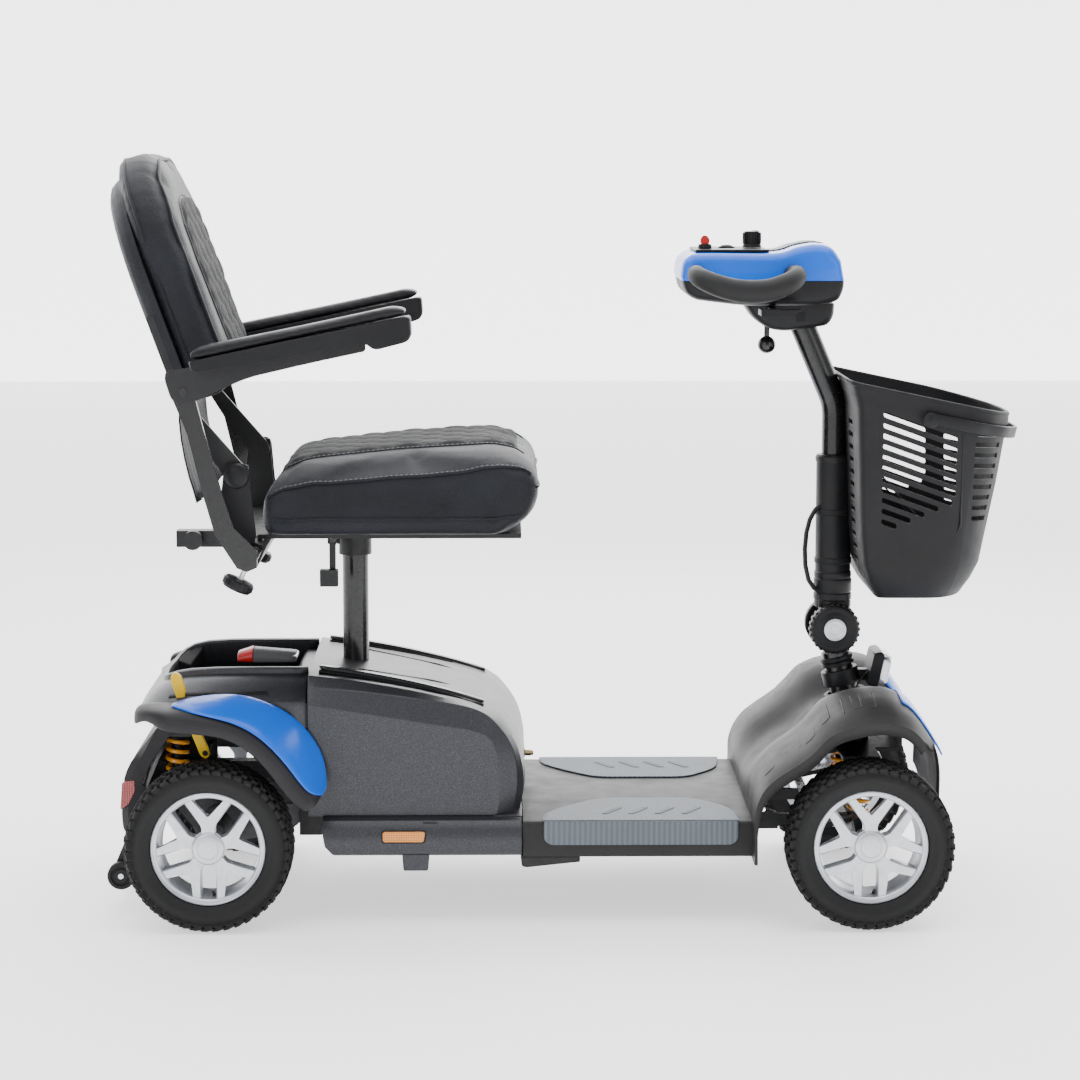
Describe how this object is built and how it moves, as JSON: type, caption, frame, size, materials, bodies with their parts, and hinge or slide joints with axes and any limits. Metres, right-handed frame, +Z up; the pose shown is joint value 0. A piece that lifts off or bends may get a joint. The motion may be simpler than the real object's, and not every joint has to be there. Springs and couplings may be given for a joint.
{
  "type": "mobility scooter",
  "caption": "Electric mobility scooter with swivel armchair seat, under-seat battery case, flat footwell, sprung axles, folding steering tiller and front basket.",
  "frame": {"origin": "on the ground, midway along the overall length and in the middle of the width", "axes": "+X is forward, +Y is the rider's left, +Z is up"},
  "size_m": [1.324, 0.611, 1.0937],
  "materials": {
    "frame_black": "satin",
    "gloss_black_steel": "gloss",
    "body_grey": "satin",
    "floor_grey": "satin",
    "mat_rubber": "matte",
    "blue_gloss": "gloss",
    "black_plastic": "satin",
    "tyre_rubber": "matte",
    "silver_alloy": "satin",
    "amber_spring": "gloss",
    "drive_metal": "satin",
    "battery_plastic": "matte",
    "reflector_plastic": "gloss",
    "lever_yellow": "satin",
    "handle_red_grey": "satin",
    "lamp_lens": "gloss",
    "key_red": "gloss",
    "cable_black": "satin",
    "vinyl_black": "satin"
  },
  "bodies": {
    "chassis": {"main_frame": "frame_black", "front_frame": "frame_black", "deck": "floor_grey", "deck_mats": "mat_rubber", "front_shroud": "floor_grey", "colour_panels": "blue_gloss", "battery_case": "body_grey", "battery_cells": "battery_plastic", "rear_shroud": "body_grey", "centre_skirt": "body_grey", "reflectors": "reflector_plastic", "rear_springs": "amber_spring", "front_springs": "amber_spring"},
    "freewheel_lever": {"freewheel_lever": "lever_yellow"},
    "anti_tip_wheels": {"anti_tip_wheels": "black_plastic"},
    "release_lever": {"release_lever": "handle_red_grey"},
    "rear_drive": {"transaxle": "drive_metal"},
    "rear_wheel_left": {"rear_tyre_left": "tyre_rubber", "rear_rim_left": "silver_alloy"},
    "rear_wheel_right": {"rear_tyre_right": "tyre_rubber", "rear_rim_right": "silver_alloy"},
    "front_axle": {"front_axle": "frame_black"},
    "knuckle_left": {"knuckle_left": "frame_black"},
    "knuckle_right": {"knuckle_right": "frame_black"},
    "tie_rod": {"tie_rod": "frame_black"},
    "front_wheel_left": {"front_tyre_left": "tyre_rubber", "front_rim_left": "silver_alloy"},
    "front_wheel_right": {"front_tyre_right": "tyre_rubber", "front_rim_right": "silver_alloy"},
    "steering_stem": {"steer_stem": "gloss_black_steel", "headlight": "black_plastic", "headlight_lens": "lamp_lens"},
    "tiller": {"tiller_sleeve": "gloss_black_steel", "tiller_tube": "gloss_black_steel", "head_lower": "black_plastic", "head_upper": "blue_gloss", "handle_loops": "black_plastic", "control_panel": "black_plastic", "tiller_cable": "cable_black"},
    "pivot_knob": {"pivot_knob": "black_plastic"},
    "speed_knob": {"speed_knob": "black_plastic"},
    "key_switch": {"key_switch": "key_red"},
    "horn_button": {"horn_button": "body_grey"},
    "throttle_lever": {"throttle_lever": "black_plastic"},
    "lock_plunger": {"lock_plunger": "black_plastic"},
    "basket": {"basket": "black_plastic"},
    "basket_bail": {"basket_bail": "black_plastic"},
    "seat_post": {"seat_post": "gloss_black_steel"},
    "seat": {"seat_frame": "frame_black", "seat_cushion": "vinyl_black"},
    "swivel_lever": {"swivel_lever": "frame_black"},
    "backrest": {"backrest_frame": "frame_black", "backrest_shell": "black_plastic", "backrest_cushion": "vinyl_black"},
    "arm_bar_left": {"arm_bar_left": "gloss_black_steel"},
    "arm_bar_right": {"arm_bar_right": "gloss_black_steel"},
    "armrest_left": {"armrest_left": "black_plastic"},
    "armrest_right": {"armrest_right": "black_plastic"},
    "arm_knob_left": {"arm_knob_left": "black_plastic"},
    "arm_knob_right": {"arm_knob_right": "black_plastic"}
  },
  "joints": [
    {"name": "freewheel_lever_hinge", "type": "hinge", "parent": "chassis", "child": "freewheel_lever", "pos_m": [-0.51, -0.186, 0.24], "axis": [0, 1, 0], "range_deg": [0, 35]},
    {"name": "anti_tip_spin", "type": "hinge", "parent": "chassis", "child": "anti_tip_wheels", "pos_m": [-0.642, 0, 0.044], "axis": [0, 1, 0], "continuous": true},
    {"name": "release_lever_hinge", "type": "hinge", "parent": "chassis", "child": "release_lever", "pos_m": [-0.394, 0, 0.348], "axis": [0, 1, 0], "range_deg": [0, 60]},
    {"name": "rear_suspension", "type": "hinge", "parent": "chassis", "child": "rear_drive", "pos_m": [-0.365, 0, 0.135], "axis": [0, 1, 0], "range_deg": [-4, 4], "stiffness_Nm_per_rad": 1300, "springref_deg": 1.89, "deforming": ["rear_springs"]},
    {"name": "rear_wheel_left_spin", "type": "hinge", "parent": "rear_drive", "child": "rear_wheel_left", "pos_m": [-0.5, 0.2425, 0.119], "axis": [0, 1, 0], "continuous": true},
    {"name": "rear_wheel_right_spin", "type": "hinge", "parent": "rear_drive", "child": "rear_wheel_right", "pos_m": [-0.5, -0.2425, 0.119], "axis": [0, 1, 0], "continuous": true},
    {"name": "front_suspension", "type": "hinge", "parent": "chassis", "child": "front_axle", "pos_m": [0.305, 0, 0.119], "axis": [0, 1, 0], "range_deg": [-3, 3], "stiffness_Nm_per_rad": 900, "springref_deg": -1.89, "deforming": ["front_springs"]},
    {"name": "knuckle_left_pivot", "type": "hinge", "parent": "front_axle", "child": "knuckle_left", "pos_m": [0.43, 0.172, 0.119], "axis": [-0.2334, 0, 0.9724], "range_deg": [-33, 33]},
    {"name": "knuckle_right_pivot", "type": "hinge", "parent": "front_axle", "child": "knuckle_right", "pos_m": [0.43, -0.172, 0.119], "axis": [-0.2334, 0, 0.9724], "range_deg": [-33, 33]},
    {"name": "tie_rod_pivot", "type": "hinge", "parent": "knuckle_left", "child": "tie_rod", "pos_m": [0.36395, 0.172, 0.13708], "axis": [-0.2334, 0, 0.9724], "range_deg": [-33, 33]},
    {"name": "front_wheel_left_spin", "type": "hinge", "parent": "knuckle_left", "child": "front_wheel_left", "pos_m": [0.43, 0.2425, 0.119], "axis": [0, 1, 0], "continuous": true},
    {"name": "front_wheel_right_spin", "type": "hinge", "parent": "knuckle_right", "child": "front_wheel_right", "pos_m": [0.43, -0.2425, 0.119], "axis": [0, 1, 0], "continuous": true},
    {"name": "steering", "type": "hinge", "parent": "chassis", "child": "steering_stem", "pos_m": [0.421, 0, 0.29], "axis": [-0.2334, 0, 0.9724], "range_deg": [-33, 33]},
    {"name": "tiller_tilt", "type": "hinge", "parent": "steering_stem", "child": "tiller", "pos_m": [0.401, 0, 0.392], "axis": [0, 1, 0], "range_deg": [-25, 10]},
    {"name": "pivot_knob_turn", "type": "hinge", "parent": "tiller", "child": "pivot_knob", "pos_m": [0.401, -0.034, 0.392], "axis": [0, 1, 0], "continuous": true},
    {"name": "speed_knob_turn", "type": "hinge", "parent": "tiller", "child": "speed_knob", "pos_m": [0.277, 0, 0.96], "axis": [0, 0, -1], "range_deg": [0, 270]},
    {"name": "key_turn", "type": "hinge", "parent": "tiller", "child": "key_switch", "pos_m": [0.206, -0.036, 0.955], "axis": [0, 0, -1], "range_deg": [0, 90]},
    {"name": "horn_press", "type": "slide", "parent": "tiller", "child": "horn_button", "axis": [0, 0, -1], "range_m": [0, 0.002], "stiffness_N_per_m": 400},
    {"name": "throttle_turn", "type": "hinge", "parent": "tiller", "child": "throttle_lever", "pos_m": [0.3, 0, 0.862], "axis": [0, 0, 1], "range_deg": [-12, 12], "stiffness_Nm_per_rad": 1},
    {"name": "lock_pull", "type": "slide", "parent": "tiller", "child": "lock_plunger", "axis": [0, 0, -1], "range_m": [0, 0.008], "stiffness_N_per_m": 400},
    {"name": "basket_lift", "type": "slide", "parent": "tiller", "child": "basket", "axis": [0, 0, 1], "range_m": [0, 0.06]},
    {"name": "bail_swing", "type": "hinge", "parent": "basket", "child": "basket_bail", "pos_m": [0.517, 0, 0.712], "axis": [0, -1, 0], "range_deg": [0, 95]},
    {"name": "seat_height", "type": "slide", "parent": "chassis", "child": "seat_post", "axis": [0, 0, 1], "range_m": [0, 0.05]},
    {"name": "seat_swivel", "type": "hinge", "parent": "seat_post", "child": "seat", "pos_m": [-0.304, 0, 0.52], "axis": [0, 0, 1], "continuous": true},
    {"name": "swivel_lever_lift", "type": "hinge", "parent": "seat", "child": "swivel_lever", "pos_m": [-0.334, -0.03, 0.523], "axis": [-1, 0, 0], "range_deg": [0, 12]},
    {"name": "backrest_fold", "type": "hinge", "parent": "seat", "child": "backrest", "pos_m": [-0.459, 0, 0.637], "axis": [0, 1, 0], "range_deg": [0, 75]},
    {"name": "arm_left_slide", "type": "slide", "parent": "seat", "child": "arm_bar_left", "axis": [0, 1, 0], "range_m": [0, 0.04]},
    {"name": "arm_right_slide", "type": "slide", "parent": "seat", "child": "arm_bar_right", "axis": [0, -1, 0], "range_m": [0, 0.04]},
    {"name": "armrest_left_flip", "type": "hinge", "parent": "arm_bar_left", "child": "armrest_left", "pos_m": [-0.527, 0.25, 0.759], "axis": [0, -1, 0], "range_deg": [0, 95]},
    {"name": "armrest_right_flip", "type": "hinge", "parent": "arm_bar_right", "child": "armrest_right", "pos_m": [-0.527, -0.25, 0.759], "axis": [0, -1, 0], "range_deg": [0, 95]},
    {"name": "arm_knob_left_turn", "type": "hinge", "parent": "seat", "child": "arm_knob_left", "pos_m": [-0.46113, 0.165, 0.48168], "axis": [0.4226, 0, 0.9063], "continuous": true},
    {"name": "arm_knob_right_turn", "type": "hinge", "parent": "seat", "child": "arm_knob_right", "pos_m": [-0.46113, -0.165, 0.48168], "axis": [0.4226, 0, 0.9063], "continuous": true}
  ],
  "couplings": [
    {"joint": "knuckle_left_pivot", "follows": "steering", "ratio": 1},
    {"joint": "knuckle_right_pivot", "follows": "steering", "ratio": 1},
    {"joint": "tie_rod_pivot", "follows": "steering", "ratio": -1}
  ]
}
